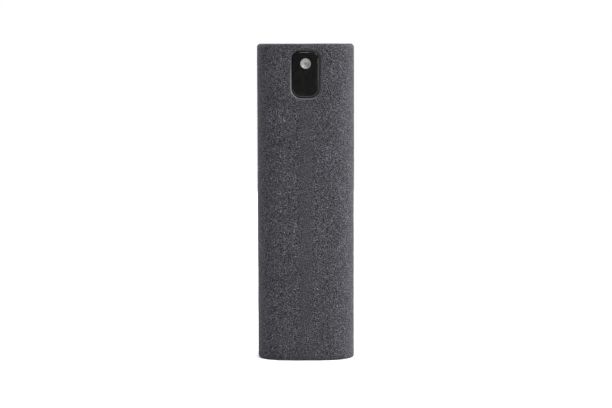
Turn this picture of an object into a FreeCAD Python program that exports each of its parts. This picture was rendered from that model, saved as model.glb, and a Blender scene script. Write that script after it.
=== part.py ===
"""Pocket lens cleaning spray, as a parametric FreeCAD document.

A flat bottle of cleaning fluid sits inside a rigid sleeve that is covered all over in microfibre
cloth. A black push button shows through a window near the top of the front face. The spray nozzle
is in the button's upper part, and a fingertip presses its lower part. The button drives a small
piston pump that lies front to back behind it. The pump draws fluid up a dip tube and sends it
through the button to the nozzle. The bottle pulls down out of the sleeve to be filled.

Frame: origin at the centre of the base, +Z up, front face towards -Y. Sizes are in millimetres.
"""

import FreeCAD, Part
import Sketcher
import math
import os

DIMENSIONS = {
    # the sleeve, outside
    "body_width": 38.4,
    "body_depth": 22.0,
    "body_height": 126.0,
    "face_radius": 67.0,  # the gentle bulge of the front and back faces
    "cover_thick": 1.0,
    "cover_top_round": 1.5,
    "cover_hem_round": 1.2,
    "shell_wall": 1.2,
    "shell_top": 1.0,
    "shell_foot_round": 0.6,
    # the window, and the button in it
    "window_width": 11.3,
    "window_height": 18.8,
    "window_drop": 2.75,  # top of the sleeve down to the top of the window
    "window_top_round": 3.2,
    "window_foot_round": 4.0,
    "window_gap": 0.5,  # cloth edge to button
    "shell_gap": 0.25,  # shell edge to button
    "button_recess": 0.3,
    "button_edge": 0.35,
    "flange_lip": 0.9,
    "flange_thick": 1.4,
    "flange_gap": 0.1,
    "stroke": 2.6,
    "stop_gap": 0.1,
    "boss_width": 5.0,
    "boss_length": 1.6,
    "socket_depth": 3.2,
    "post_width": 3.0,
    "post_length": 8.5,
    "channel_bore": 1.0,
    "channel_inset": 0.5,  # channel axis, in front of the socket's end
    "plug_length": 2.4,
    # the nozzle
    "nozzle_drop": 5.15,  # top of the window down to the nozzle
    "nozzle_width": 4.1,
    "nozzle_length": 1.7,
    "dish_radius": 2.5,
    "dish_depth": 0.8,
    "orifice_bore": 0.3,
    "swirl_bore": 1.4,
    "swirl_depth": 0.4,
    "core_length": 0.8,
    "core_notch": 0.6,
    # the pump
    "pump_drop": 12.95,  # top of the window down to the pump's axis
    "spring_length": 5.1,
    "spring_width": 6.6,  # middle of the wire to middle of the wire
    "spring_wire": 0.5,
    "spring_pitch": 1.15,
    "pump_bore": 5.6,
    "cylinder_wall": 1.2,
    "piston_lead": 0.6,
    "piston_length": 2.4,
    "piston_gap": 0.15,
    "seal_groove": 0.7,
    "seal_width": 1.0,
    "end_gap": 1.3,
    "port_bore": 1.2,
    "stem_width": 3.2,
    "stem_bore": 1.4,
    "valve_thick": 0.8,
    "plate_width": 17.0,
    "plate_height": 9.0,
    "plate_thick": 1.0,
    "gasket_thick": 0.5,
    "gasket_lip": 0.6,
    "ring_groove": 0.6,
    "screw_spacing": 12.8,
    "screw_width": 1.6,
    "screw_length": 4.0,
    "screw_head": 2.8,
    "screw_head_height": 0.8,
    # the head frame that carries the pump
    "head_drop": 13.1,  # pump's axis down to the frame's floor
    "head_core_width": 4.0,
    "head_core_start": 9.6,
    "head_core_front": 5.0,
    "head_floor_thick": 1.4,
    "snap_width": 4.0,
    "snap_height": 2.0,
    "snap_reach": 0.5,
    "spigot_width": 12.0,
    "spigot_length": 6.2,
    "spigot_back": 1.2,  # spigot's axis behind the middle of the sleeve
    "valve_back": 2.7,  # inlet valve's axis behind the middle of the sleeve
    "ring_seat": 1.5,
    "seat_width": 4.2,
    "seat_height": 11.0,
    "seat_flange": 5.6,
    "seat_flange_thick": 1.0,
    "valve_bore": 1.2,
    "valve_cone": 0.7,
    "cage_bore": 3.0,
    "ball_width": 2.4,
    "ball_lift": 0.5,
    "vent_bore": 0.8,
    "vent_spacing": 5.8,
    "vent_ring_width": 8.4,
    "vent_ring_thick": 0.6,
    "tube_width": 2.4,
    "tube_bore": 1.5,
    "tube_socket": 5.2,
    "tube_foot_gap": 1.5,
    "tube_notch": 0.8,
    # the bottle and its base cap
    "bottle_wall": 1.2,
    "shoulder_round": 2.5,
    "neck_wall": 1.2,
    "neck_height": 7.0,
    "neck_gap": 0.3,
    "base_gap": 0.6,  # base cap, up from the hem
    "base_plate": 2.6,
    "skirt_wall": 0.9,
    "skirt_height": 4.0,
    "base_round": 0.5,
    "grip_width": 18.0,
    "grip_depth": 8.0,
    "grip_recess": 1.6,
    "grip_bar": 2.4,
    # clearances
    "head_gap": 0.2,  # head frame in the shell
    "slide_gap": 0.25,  # bottle in the shell
    "running_gap": 0.05,  # a sliding round fit
    "seat_gap": 0.02,  # parts that are pushed together and stay
}
ROOT_TWO = math.sqrt(2)
OUT_FOLDER = "parts"


class Size:
    """A length, and the spreadsheet expression that gives it."""

    def __init__(self, number, text=None):
        self.number = float(number)
        self.text = text or repr(float(number))

    def _join(self, sign, other, number):
        return Size(number, f"({self.text} {sign} {other.text})")

    def __add__(self, other):
        other = as_size(other)
        return self._join("+", other, self.number + other.number)

    def __sub__(self, other):
        other = as_size(other)
        return self._join("-", other, self.number - other.number)

    def __mul__(self, other):
        other = as_size(other)
        return self._join("*", other, self.number * other.number)

    def __truediv__(self, other):
        other = as_size(other)
        return self._join("/", other, self.number / other.number)

    def __neg__(self):
        return Size(0.0) - self


def as_size(value):
    return value if isinstance(value, Size) else Size(value)


class Dimensions:
    """The driving dimensions, each one a Size that points at its own spreadsheet cell."""

    def __init__(self, sheet):
        for row, (alias, number) in enumerate(DIMENSIONS.items(), start=1):
            sheet.set(f"A{row}", alias)
            sheet.set(f"B{row}", str(number))
            sheet.setAlias(f"B{row}", alias)
            setattr(self, alias, Size(number, f"{sheet.Name}.{alias}"))


doc = FreeCAD.newDocument("LensSpray")
dims_sheet = doc.addObject("Spreadsheet::Sheet", "Dims")
D = Dimensions(dims_sheet)
doc.recompute()

# ---- places that several parts share -------------------------------------------------------------

ZERO = Size(0.0)

# centres of the arcs of the outline: the round sides at (+-SIDE_CENTRE, 0), the faces at (0, +-FACE_CENTRE)
FACE_CENTRE = D.face_radius - D.body_depth / 2
SIDE_REACH = D.face_radius - D.body_width / 2
SIDE_CENTRE = (FACE_CENTRE * FACE_CENTRE - SIDE_REACH * SIDE_REACH) / (SIDE_REACH * 2)

# insets from the cloth's outside, which set every part that follows the sleeve's outline
SHELL_OUT = D.cover_thick
SHELL_IN = D.cover_thick + D.shell_wall
HEAD_OUT = SHELL_IN + D.head_gap
BOTTLE_OUT = SHELL_IN + D.slide_gap
BOTTLE_IN = BOTTLE_OUT + D.bottle_wall
FOOT_OUT = BOTTLE_OUT + D.skirt_wall + D.seat_gap
FOOT_IN = FOOT_OUT + D.bottle_wall

# heights
CEILING = D.body_height - D.cover_thick - D.shell_top
WINDOW_TOP = D.body_height - D.window_drop
WINDOW_MIDDLE = WINDOW_TOP - D.window_height / 2
NOZZLE_Z = WINDOW_TOP - D.nozzle_drop
PUMP_Z = WINDOW_TOP - D.pump_drop
HEAD_TOP = CEILING - D.head_gap
HEAD_FLOOR = PUMP_Z - D.head_drop
SPIGOT_END = HEAD_FLOOR - D.spigot_length
NECK_TOP = HEAD_FLOOR - D.neck_gap
SHOULDER = NECK_TOP - D.neck_height
PLATE_TOP = D.base_gap + D.base_plate
SKIRT_TOP = PLATE_TOP + D.skirt_height
FOOT_BOTTOM = PLATE_TOP + D.seat_gap
BOTTLE_STEP = SKIRT_TOP + D.slide_gap
SEAT_TOP = SPIGOT_END + D.seat_height - D.seat_flange_thick - D.vent_ring_thick
CONE_FOOT = SEAT_TOP - D.valve_cone
BALL_Z = CONE_FOOT - D.valve_bore / 2 + D.ball_width * (ROOT_TWO / 2) + D.seat_gap
CAGE_TOP = BALL_Z + D.ball_width / 2 + D.ball_lift + D.running_gap

# button and window outlines
BUTTON_WIDTH = D.window_width - D.window_gap * 2
BUTTON_HEIGHT = D.window_height - D.window_gap * 2
BUTTON_BOTTOM = WINDOW_MIDDLE - BUTTON_HEIGHT / 2

# depths, from the front face at -Y to the back
FRONT = -(D.body_depth / 2)
SHELL_FRONT = FRONT + SHELL_IN
BUTTON_FACE = FRONT + D.button_recess
FLANGE_FRONT = SHELL_FRONT + D.flange_gap
FLANGE_BACK = FLANGE_FRONT + D.flange_thick
POCKET_FLOOR = FLANGE_BACK + D.stroke + D.stop_gap
BOSS_BACK = FLANGE_BACK + D.boss_length
SOCKET_END = BOSS_BACK - D.socket_depth
CHANNEL_Y = SOCKET_END + D.channel_inset - D.channel_inset / 2
POST_BACK = FLANGE_BACK + D.post_length
NOZZLE_BACK = BUTTON_FACE + D.nozzle_length
CORE_BACK = NOZZLE_BACK + D.core_length
CYLINDER_FRONT = FLANGE_BACK + D.spring_length
PISTON_FRONT = CYLINDER_FRONT + D.piston_lead
PISTON_BACK = PISTON_FRONT + D.piston_length
BORE_END = PISTON_BACK + D.stroke + D.end_gap
PORT_Y = BORE_END - D.port_bore / 2 - D.stop_gap
GASKET_FRONT = PORT_Y + D.port_bore / 2 + D.stop_gap * 3
PLATE_FRONT = GASKET_FRONT + D.gasket_thick
PLATE_BACK = PLATE_FRONT + D.plate_thick
STEM_TIP = BOSS_BACK - D.boss_length + D.running_gap * 4
CYLINDER_RADIUS = D.pump_bore / 2 + D.cylinder_wall
RING_Y = (PISTON_BACK + PORT_Y) / 2 - D.ring_groove / 2
SPIGOT_Y = D.spigot_back
VALVE_Y = D.valve_back
NECK_BORE_RADIUS = D.spigot_width / 2 + D.running_gap
RING_Z = (SPIGOT_END + HEAD_FLOOR) / 2

# ---- sketch and feature helpers ------------------------------------------------------------------

V = FreeCAD.Vector
UP = FreeCAD.Rotation()
BACKWARD = FreeCAD.Rotation(V(1, 0, 0), -90)  # turns a part's own +Z to +Y
ORIGIN_POINT = (-1, 1)
X_AXIS, Y_AXIS = -1, -2


def new_body(label):
    return doc.addObject("PartDesign::Body", label)


def plane_of(body, role):
    return next(f for f in body.Origin.OriginFeatures if f.Role == role)


def new_sketch(body, name, role="XY_Plane", offset=ZERO):
    """A sketch on one of the body's own planes, moved along that plane's normal."""
    sketch = body.newObject("Sketcher::SketchObject", name)
    sketch.AttachmentSupport = (plane_of(body, role), [""])
    sketch.MapMode = "FlatFace"
    sketch.setExpression("AttachmentOffset.Base.z", offset.text)
    return sketch


def drive(sketch, kind, where, size):
    """Adds a dimension to a sketch and ties it to the spreadsheet."""
    index = sketch.addConstraint(Sketcher.Constraint(kind, *where, size.number))
    sketch.setExpression(f"Constraints[{index}]", size.text)


def place_point(sketch, geometry, end, x, y):
    """Puts a point of the sketch at (x, y). A plain 0 means on the axis."""
    for kind, axis, size in (("DistanceX", Y_AXIS, x), ("DistanceY", X_AXIS, y)):
        if isinstance(size, Size):
            drive(sketch, kind, (*ORIGIN_POINT, geometry, end), size)
        else:
            sketch.addConstraint(Sketcher.Constraint("PointOnObject", geometry, end, axis))


def number_of(value):
    return value.number if isinstance(value, Size) else float(value)


def add_polygon(sketch, points):
    """A closed outline of straight lines through points that are each fully dimensioned."""
    corners = [V(number_of(x), number_of(y), 0) for x, y in points]
    first = len(sketch.Geometry)
    count = len(corners)
    for i, corner in enumerate(corners):
        sketch.addGeometry(Part.LineSegment(corner, corners[(i + 1) % count]))
    for i, (x, y) in enumerate(points):
        sketch.addConstraint(
            Sketcher.Constraint("Coincident", first + i, 2, first + (i + 1) % count, 1)
        )
        place_point(sketch, first + i, 1, x, y)


def add_lens(sketch, inset):
    """The sleeve's outline, drawn in by inset: two shallow face arcs and two round sides, tangent."""
    side_radius = D.body_width / 2 - SIDE_CENTRE - inset
    c, f, r = SIDE_CENTRE.number, FACE_CENTRE.number, side_radius.number
    face_radius = (D.face_radius - inset).number
    turn = math.atan2(f, c)
    first = len(sketch.Geometry)
    arcs = (
        (c, 0, r, -turn, turn),
        (0, -f, face_radius, turn, math.pi - turn),
        (-c, 0, r, math.pi - turn, math.pi + turn),
        (0, f, face_radius, math.pi + turn, 2 * math.pi - turn),
    )
    for x, y, radius, start, end in arcs:
        circle = Part.Circle(V(x, y, 0), V(0, 0, 1), radius)
        sketch.addGeometry(Part.ArcOfCircle(circle, start, end))
    side, face, far_side, far_face = range(first, first + 4)
    joint = Sketcher.Constraint
    for this, following in ((side, face), (face, far_side), (far_face, side)):
        sketch.addConstraint(joint("Tangent", this, 2, following, 1))
    sketch.addConstraint(joint("Coincident", far_side, 2, far_face, 1))
    for arc in (face, far_face):
        sketch.addConstraint(joint("Symmetric", arc, 1, arc, 2, Y_AXIS))
    sketch.addConstraint(joint("PointOnObject", side, 3, X_AXIS))
    sketch.addConstraint(joint("Equal", face, far_face))
    drive(sketch, "DistanceX", (*ORIGIN_POINT, side, 3), SIDE_CENTRE)
    drive(sketch, "DistanceY", (*ORIGIN_POINT, far_face, 3), FACE_CENTRE)
    drive(sketch, "Radius", (side,), side_radius)


def add_window(sketch, width, height, top_round, foot_round):
    """An upright rounded rectangle about the window's middle, with larger corners at its foot."""
    half, tall = width.number / 2, height.number / 2
    top, foot, middle = top_round.number, foot_round.number, WINDOW_MIDDLE.number
    corners = (
        (half - top, middle + tall - top, top, 0.0),
        (top - half, middle + tall - top, top, math.pi / 2),
        (foot - half, middle - tall + foot, foot, math.pi),
        (half - foot, middle - tall + foot, foot, 1.5 * math.pi),
    )
    first = len(sketch.Geometry)
    arcs = []
    for x, y, radius, start in corners:
        circle = Part.Circle(V(x, y, 0), V(0, 0, 1), radius)
        arcs.append(Part.ArcOfCircle(circle, start, start + math.pi / 2))
    for i, arc in enumerate(arcs):
        sketch.addGeometry(arc)
        sketch.addGeometry(Part.LineSegment(arc.EndPoint, arcs[(i + 1) % 4].StartPoint))
    for i in range(4):
        arc, line, following = first + 2 * i, first + 2 * i + 1, first + (2 * i + 2) % 8
        sketch.addConstraint(Sketcher.Constraint("Tangent", arc, 2, line, 1))
        sketch.addConstraint(Sketcher.Constraint("Tangent", line, 2, following, 1))
    for kind, line in (("Vertical", first + 3), ("Horizontal", first + 5), ("Vertical", first + 7)):
        sketch.addConstraint(Sketcher.Constraint(kind, line))
    right, top_line, foot_line = first + 7, first + 1, first + 5
    drive(sketch, "Radius", (first,), top_round)
    drive(sketch, "Radius", (first + 4,), foot_round)
    sketch.addConstraint(Sketcher.Constraint("Equal", first, first + 2))
    sketch.addConstraint(Sketcher.Constraint("Equal", first + 4, first + 6))
    sketch.addConstraint(Sketcher.Constraint("Symmetric", top_line, 1, top_line, 2, Y_AXIS))
    drive(sketch, "DistanceX", (*ORIGIN_POINT, right, 1), width / 2)
    drive(sketch, "DistanceY", (*ORIGIN_POINT, top_line, 1), WINDOW_MIDDLE + height / 2)
    drive(sketch, "DistanceY", (*ORIGIN_POINT, foot_line, 1), WINDOW_MIDDLE - height / 2)


def extrude(body, sketch, kind, length, forward):
    """A Pad or Pocket of the sketch. forward means along the sketch plane's normal."""
    feature = body.newObject(f"PartDesign::{kind}", f"{kind}_{sketch.Name}")
    feature.Profile = sketch
    feature.setExpression("Length", length.text)
    feature.Reversed = forward if kind == "Pocket" else not forward
    sketch.Visibility = False
    return feature


def lens_pad(body, name, inset, bottom, top):
    sketch = new_sketch(body, name, offset=bottom)
    add_lens(sketch, inset)
    return extrude(body, sketch, "Pad", top - bottom, True)


def lens_pocket(body, name, inset, bottom, top):
    sketch = new_sketch(body, name, offset=bottom)
    add_lens(sketch, inset)
    return extrude(body, sketch, "Pocket", top - bottom, True)


def window_pocket(body, name, width, height, top_round, foot_round):
    """Cuts the window's outline forward from the middle of the sleeve, so only the front wall is opened."""
    sketch = new_sketch(body, name, "XZ_Plane")
    add_window(sketch, width, height, top_round, foot_round)
    return extrude(body, sketch, "Pocket", D.body_depth, True)


def trim_outside(body, name, inset):
    """Cuts away all of the body that lies outside the sleeve's outline drawn in by inset."""
    sketch = new_sketch(body, name)
    far_x, far_y = D.body_width, D.body_depth
    add_polygon(sketch, [(far_x, far_y), (-far_x, far_y), (-far_x, -far_y), (far_x, -far_y)])
    add_lens(sketch, inset)
    return extrude(body, sketch, "Pocket", D.body_height * 2, True)


def primitive(body, kind, name, sizes, base, rotation=UP):
    """A PartDesign primitive, such as AdditiveCylinder, with its sizes and place tied to the spreadsheet."""
    feature = body.newObject(f"PartDesign::{kind}", name)
    feature.Placement = FreeCAD.Placement(V(0, 0, 0), rotation)
    for prop, size in sizes.items():
        feature.setExpression(prop, as_size(size).text)
    for axis, size in zip("xyz", base):
        feature.setExpression(f"Placement.Base.{axis}", as_size(size).text)
    return feature


def cylinder(body, kind, name, radius, start, length, rotation=UP):
    sizes = {"Radius": radius, "Height": length}
    return primitive(body, f"{kind}Cylinder", name, sizes, start, rotation)


def box(body, kind, name, low, high):
    """A box between two corners."""
    low, high = [as_size(v) for v in low], [as_size(v) for v in high]
    sizes = {p: b - a for p, a, b in zip(("Length", "Width", "Height"), low, high)}
    return primitive(body, f"{kind}Box", name, sizes, low)


def dress(body, kind, name, chosen, size):
    """A Fillet or Chamfer on the edges of the body's tip that chosen() picks."""
    doc.recompute()
    tip = body.Tip
    edges = [f"Edge{i}" for i, e in enumerate(tip.Shape.Edges, start=1) if chosen(e)]
    feature = body.newObject(f"PartDesign::{kind}", name)
    feature.Base = (tip, edges)
    feature.setExpression("Radius" if kind == "Fillet" else "Size", size.text)
    return feature


def at_height(size):
    """Picks the edges that lie wholly at one height."""

    def chosen(edge):
        bounds = edge.BoundBox
        return abs(bounds.ZMin - size.number) < 1e-4 and abs(bounds.ZMax - size.number) < 1e-4

    return chosen


def turned(label, profile, base=(0, 0, 0), rotation=UP):
    """A body turned about its own Z axis from a profile of (radius, height) points."""
    body = new_body(label)
    sketch = new_sketch(body, f"{label}_profile", "XZ_Plane")
    add_polygon(sketch, profile)
    turn = body.newObject("PartDesign::Revolution", f"{label}_turn")
    turn.Profile = sketch
    turn.ReferenceAxis = (sketch, ["V_Axis"])
    turn.Angle = 360
    sketch.Visibility = False
    body.Placement = FreeCAD.Placement(V(0, 0, 0), rotation)
    for axis, size in zip("xyz", base):
        body.setExpression(f"Placement.Base.{axis}", as_size(size).text)
    return body


def tube(label, inner, outer, start, end, base, rotation=UP):
    return turned(label, [(inner, start), (outer, start), (outer, end), (inner, end)], base, rotation)


def ring(label, middle_radius, section_radius, base, rotation=UP):
    """An O-ring."""
    torus = doc.addObject("Part::Torus", label)
    torus.setExpression("Radius1", middle_radius.text)
    torus.setExpression("Radius2", section_radius.text)
    torus.Placement = FreeCAD.Placement(V(0, 0, 0), rotation)
    for axis, size in zip("xyz", base):
        torus.setExpression(f"Placement.Base.{axis}", as_size(size).text)
    return torus


# ---- the sleeve ----------------------------------------------------------------------------------


def microfibre_cover():
    """The cloth over the whole sleeve, turned in under the shell's foot and cut away round the window."""
    body = new_body("microfibre_cover")
    lens_pad(body, "CoverOutline", ZERO, ZERO, D.body_height)
    dress(body, "Fillet", "TopRound", at_height(D.body_height), D.cover_top_round)
    dress(body, "Fillet", "HemRound", at_height(ZERO), D.cover_hem_round)
    lens_pocket(body, "CoverInside", SHELL_OUT, D.cover_thick, D.body_height - D.cover_thick)
    lens_pocket(body, "HemOpening", SHELL_IN, ZERO, D.cover_thick)
    window_pocket(
        body, "CoverWindow", D.window_width, D.window_height, D.window_top_round, D.window_foot_round
    )
    return body


def sleeve_shell():
    """The rigid shell under the cloth: closed on top, open at the foot, pocketed for the snaps."""
    body = new_body("sleeve_shell")
    lens_pad(body, "ShellOutline", SHELL_OUT, D.cover_thick, D.body_height - D.cover_thick)
    dress(body, "Fillet", "FootRound", at_height(D.cover_thick), D.shell_foot_round)
    lens_pocket(body, "ShellInside", SHELL_IN, D.cover_thick, CEILING)
    margin = D.window_gap - D.shell_gap
    window_pocket(
        body,
        "ShellWindow",
        D.window_width - margin * 2,
        D.window_height - margin * 2,
        D.window_top_round - margin,
        D.window_foot_round - margin,
    )
    reach = D.body_width / 2 - HEAD_OUT + D.snap_reach + D.head_gap
    play = D.head_gap
    box(
        body,
        "Subtractive",
        "SnapPockets",
        (-reach, -(D.snap_width / 2) - play, HEAD_FLOOR + D.head_floor_thick - play),
        (reach, D.snap_width / 2 + play, HEAD_FLOOR + D.head_floor_thick + D.snap_height + play),
    )
    return body


# ---- the button ----------------------------------------------------------------------------------


def button():
    """The push button: a bulged face, a flange behind the window, a guide post and a stem socket."""
    body = new_body("button")
    lip, margin = D.flange_lip * 2, D.window_gap
    for name, grow, inset in (("Flange", lip, SHELL_IN + D.flange_gap), ("Face", ZERO, D.button_recess)):
        sketch = new_sketch(body, f"{name}Outline", "XZ_Plane", -FLANGE_BACK)
        add_window(
            sketch,
            BUTTON_WIDTH + grow,
            BUTTON_HEIGHT + grow,
            D.window_top_round - margin + grow / 2,
            D.window_foot_round - margin + grow / 2,
        )
        extrude(body, sketch, "Pad", D.body_depth / 2, True)
        trim_outside(body, f"{name}Trim", inset)
    face_limit = FLANGE_FRONT.number - 1e-3
    dress(body, "Fillet", "FaceEdge", lambda e: e.BoundBox.YMax < face_limit, D.button_edge)
    cylinder(body, "Additive", "Boss", D.boss_width / 2, (0, FLANGE_BACK, PUMP_Z), D.boss_length, BACKWARD)
    cylinder(body, "Additive", "Post", D.post_width / 2, (0, FLANGE_BACK, NOZZLE_Z), D.post_length, BACKWARD)
    cylinder(
        body,
        "Subtractive",
        "Socket",
        D.stem_width / 2 + D.seat_gap,
        (0, SOCKET_END, PUMP_Z),
        D.socket_depth,
        BACKWARD,
    )
    cylinder(
        body,
        "Subtractive",
        "NozzleSeat",
        D.nozzle_width / 2 + D.seat_gap,
        (0, FRONT, NOZZLE_Z),
        CORE_BACK - FRONT,
        BACKWARD,
    )
    channel_foot = BUTTON_BOTTOM - D.flange_lip
    cylinder(
        body,
        "Subtractive",
        "Channel",
        D.channel_bore / 2,
        (0, CHANNEL_Y, channel_foot),
        NOZZLE_Z - channel_foot,
    )
    return body


def channel_plug():
    """Closes the foot of the button's drilled channel."""
    foot = BUTTON_BOTTOM + D.button_edge
    radius = D.channel_bore / 2 - D.seat_gap
    return turned(
        "channel_plug",
        [(0, foot), (radius, foot), (radius, foot + D.plug_length), (0, foot + D.plug_length)],
        (0, CHANNEL_Y, 0),
    )


def nozzle_insert():
    """The pale insert in the button's face: a dished front, the orifice and a swirl chamber."""
    outer, hole, swirl = D.nozzle_width / 2, D.orifice_bore / 2, D.swirl_bore / 2
    chamber = NOZZLE_BACK - D.swirl_depth
    body = turned(
        "nozzle_insert",
        [
            (hole, BUTTON_FACE),
            (outer, BUTTON_FACE),
            (outer, NOZZLE_BACK),
            (swirl, NOZZLE_BACK),
            (swirl, chamber),
            (hole, chamber),
        ],
        (0, 0, NOZZLE_Z),
        BACKWARD,
    )
    centre = BUTTON_FACE - D.dish_radius + D.dish_depth
    primitive(body, "SubtractiveSphere", "Dish", {"Radius": D.dish_radius}, (0, 0, centre))
    return body


def swirl_core():
    """The disc behind the nozzle insert. Three notches in its rim feed the swirl chamber."""
    radius = D.nozzle_width / 2 - D.seat_gap
    body = turned(
        "swirl_core",
        [(0, NOZZLE_BACK), (radius, NOZZLE_BACK), (radius, CORE_BACK), (0, CORE_BACK)],
        (0, 0, NOZZLE_Z),
        BACKWARD,
    )
    half = D.core_notch / 2
    notch = box(
        body,
        "Subtractive",
        "Notch",
        (radius - D.core_notch, -half, NOZZLE_BACK - half),
        (radius + half, half, CORE_BACK + half),
    )
    pattern = body.newObject("PartDesign::PolarPattern", "Notches")
    pattern.Originals = [notch]
    pattern.Axis = (next(f for f in body.Origin.OriginFeatures if f.Role == "Z_Axis"), [""])
    pattern.Angle = 360
    pattern.Occurrences = 3
    body.Tip = pattern
    return body


# ---- the pump, which lies front to back ----------------------------------------------------------


def outlet_valve():
    """A soft duckbill valve between the hollow stem and the button's channel."""
    radius, slit = D.stem_width / 2 - D.seat_gap, D.stem_bore / 4
    root = STEM_TIP - D.valve_thick / 2
    return turned(
        "outlet_valve",
        [
            (0, STEM_TIP - D.valve_thick * 1.25),
            (slit, STEM_TIP - D.valve_thick * 1.25),
            (D.stem_bore / 2, root),
            (radius, root),
            (radius, STEM_TIP - D.seat_gap),
            (0, STEM_TIP - D.seat_gap),
        ],
        (0, 0, PUMP_Z),
        BACKWARD,
    )


def piston():
    """The hollow stem and the piston head, with a groove for its seal."""
    bore, stem = D.stem_bore / 2, D.stem_width / 2
    head, groove = D.pump_bore / 2 - D.piston_gap, D.pump_bore / 2 - D.piston_gap - D.seal_groove
    front, back = groove_ends()
    return turned(
        "piston",
        [
            (bore, STEM_TIP),
            (stem, STEM_TIP),
            (stem, PISTON_FRONT),
            (head, PISTON_FRONT),
            (head, front),
            (groove, front),
            (groove, back),
            (head, back),
            (head, PISTON_BACK),
            (bore, PISTON_BACK),
        ],
        (0, 0, PUMP_Z),
        BACKWARD,
    )


def groove_ends():
    """The front and back of the piston's seal groove."""
    middle = (PISTON_FRONT + PISTON_BACK) / 2
    return middle - D.seal_width / 2, middle + D.seal_width / 2


def piston_seal():
    """A soft ring with two lips, which runs on the cylinder's bore."""
    front, back = groove_ends()
    front, back = front + D.seat_gap, back - D.seat_gap
    inner = D.pump_bore / 2 - D.piston_gap - D.seal_groove + D.seat_gap
    outer = D.pump_bore / 2 - D.seat_gap
    waist = outer - D.piston_gap
    return turned(
        "piston_seal",
        [(inner, front), (outer, front), (waist, (front + back) / 2), (outer, back), (inner, back)],
        (0, 0, PUMP_Z),
        BACKWARD,
    )


def return_spring():
    """The coil spring that pushes the button out, between the button's flange and the cylinder's front."""
    body = new_body("return_spring")
    radius, wire = D.spring_width / 2, D.spring_wire / 2
    start = FLANGE_BACK + wire + D.seat_gap
    sketch = new_sketch(body, "Wire", "XZ_Plane")
    circle = sketch.addGeometry(
        Part.Circle(V(radius.number, start.number, 0), V(0, 0, 1), wire.number)
    )
    drive(sketch, "Radius", (circle,), wire)
    place_point(sketch, circle, 3, radius, start)
    helix = body.newObject("PartDesign::AdditiveHelix", "Coils")
    helix.Profile = sketch
    helix.ReferenceAxis = (sketch, ["V_Axis"])
    helix.Mode = "pitch-height-angle"
    helix.setExpression("Pitch", D.spring_pitch.text)
    helix.setExpression("Height", (D.spring_length - wire * 2 - D.seat_gap * 2).text)
    sketch.Visibility = False
    body.Placement = FreeCAD.Placement(V(0, 0, 0), BACKWARD)
    body.setExpression("Placement.Base.z", PUMP_Z.text)
    return body


def pump_cylinder():
    """The pump's cylinder, closed at the back: a mounting plate, an inlet port and an O-ring groove."""
    body = new_body("pump_cylinder")
    half_width, half_height = D.plate_width / 2, D.plate_height / 2
    cylinder(
        body,
        "Additive",
        "Barrel",
        CYLINDER_RADIUS,
        (0, CYLINDER_FRONT, PUMP_Z),
        PLATE_BACK - CYLINDER_FRONT,
        BACKWARD,
    )
    box(
        body,
        "Additive",
        "Plate",
        (-half_width, PLATE_FRONT, PUMP_Z - half_height),
        (half_width, PLATE_BACK, PUMP_Z + half_height),
    )
    cylinder(
        body,
        "Subtractive",
        "Bore",
        D.pump_bore / 2,
        (0, CYLINDER_FRONT, PUMP_Z),
        BORE_END - CYLINDER_FRONT,
        BACKWARD,
    )
    cylinder(
        body,
        "Subtractive",
        "Port",
        D.port_bore / 2,
        (0, PORT_Y, PUMP_Z - CYLINDER_RADIUS - D.running_gap),
        CYLINDER_RADIUS,
    )
    for name, side in (("LeftHole", -0.5), ("RightHole", 0.5)):
        cylinder(
            body,
            "Subtractive",
            name,
            D.screw_width / 2 + D.running_gap,
            (D.screw_spacing * side, PLATE_FRONT, PUMP_Z),
            D.plate_thick,
            BACKWARD,
        )
    sketch = new_sketch(body, "RingGroove", "XY_Plane", PUMP_Z)
    inner, outer = CYLINDER_RADIUS - D.ring_groove, CYLINDER_RADIUS + D.ring_groove
    front, back = RING_Y - D.ring_groove / 2, RING_Y + D.ring_groove / 2
    add_polygon(sketch, [(inner, front), (outer, front), (outer, back), (inner, back)])
    groove = body.newObject("PartDesign::Groove", "RingSeat")
    groove.Profile = sketch
    groove.ReferenceAxis = (sketch, ["V_Axis"])
    groove.Angle = 360
    sketch.Visibility = False
    return body


def cylinder_o_ring():
    """Seals the cylinder in the head frame, in front of the inlet port."""
    outer = CYLINDER_RADIUS + D.running_gap
    inner = CYLINDER_RADIUS - D.ring_groove
    section = D.ring_groove / 2 - D.seat_gap
    return ring("cylinder_o_ring", (outer + inner) / 2, section, (0, RING_Y, PUMP_Z), BACKWARD)


def cylinder_gasket():
    """A flat ring that seals the cylinder's plate against the head frame, behind the inlet port."""
    inner = CYLINDER_RADIUS + D.running_gap
    outer = inner + D.gasket_lip - D.seat_gap
    return tube("cylinder_gasket", inner, outer, GASKET_FRONT, PLATE_FRONT, (0, 0, PUMP_Z), BACKWARD)


def cylinder_screws():
    """The two screws that hold the cylinder's plate, as one group."""
    head, shank = D.screw_head / 2, D.screw_width / 2
    tip = PLATE_BACK - D.screw_length
    screw = turned(
        "RightScrew",
        [
            (0, tip),
            (shank / 2, tip),
            (shank, tip + shank),
            (shank, PLATE_BACK),
            (head, PLATE_BACK),
            (head, PLATE_BACK + D.screw_head_height),
            (0, PLATE_BACK + D.screw_head_height),
        ],
        (D.screw_spacing / 2, 0, PUMP_Z),
        BACKWARD,
    )
    slot, top = D.screw_width / 4, PLATE_BACK + D.screw_head_height
    for name, across, along in (("SlotAcross", slot, head / 1.5), ("SlotAlong", head / 1.5, slot)):
        low = (-across / 2 if name == "SlotAlong" else -across, -along, top - D.screw_head_height / 2)
        high = (across / 2 if name == "SlotAlong" else across, along, top + slot)
        box(screw, "Subtractive", name, low, high)
    mirror = doc.addObject("Part::Mirroring", "LeftScrew")
    mirror.Source = screw
    mirror.Normal = V(1, 0, 0)
    group = doc.addObject("Part::Compound", "cylinder_screws")
    group.Links = [screw, mirror]
    return group


# ---- the head frame, the inlet valve and the dip tube --------------------------------------------


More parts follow.
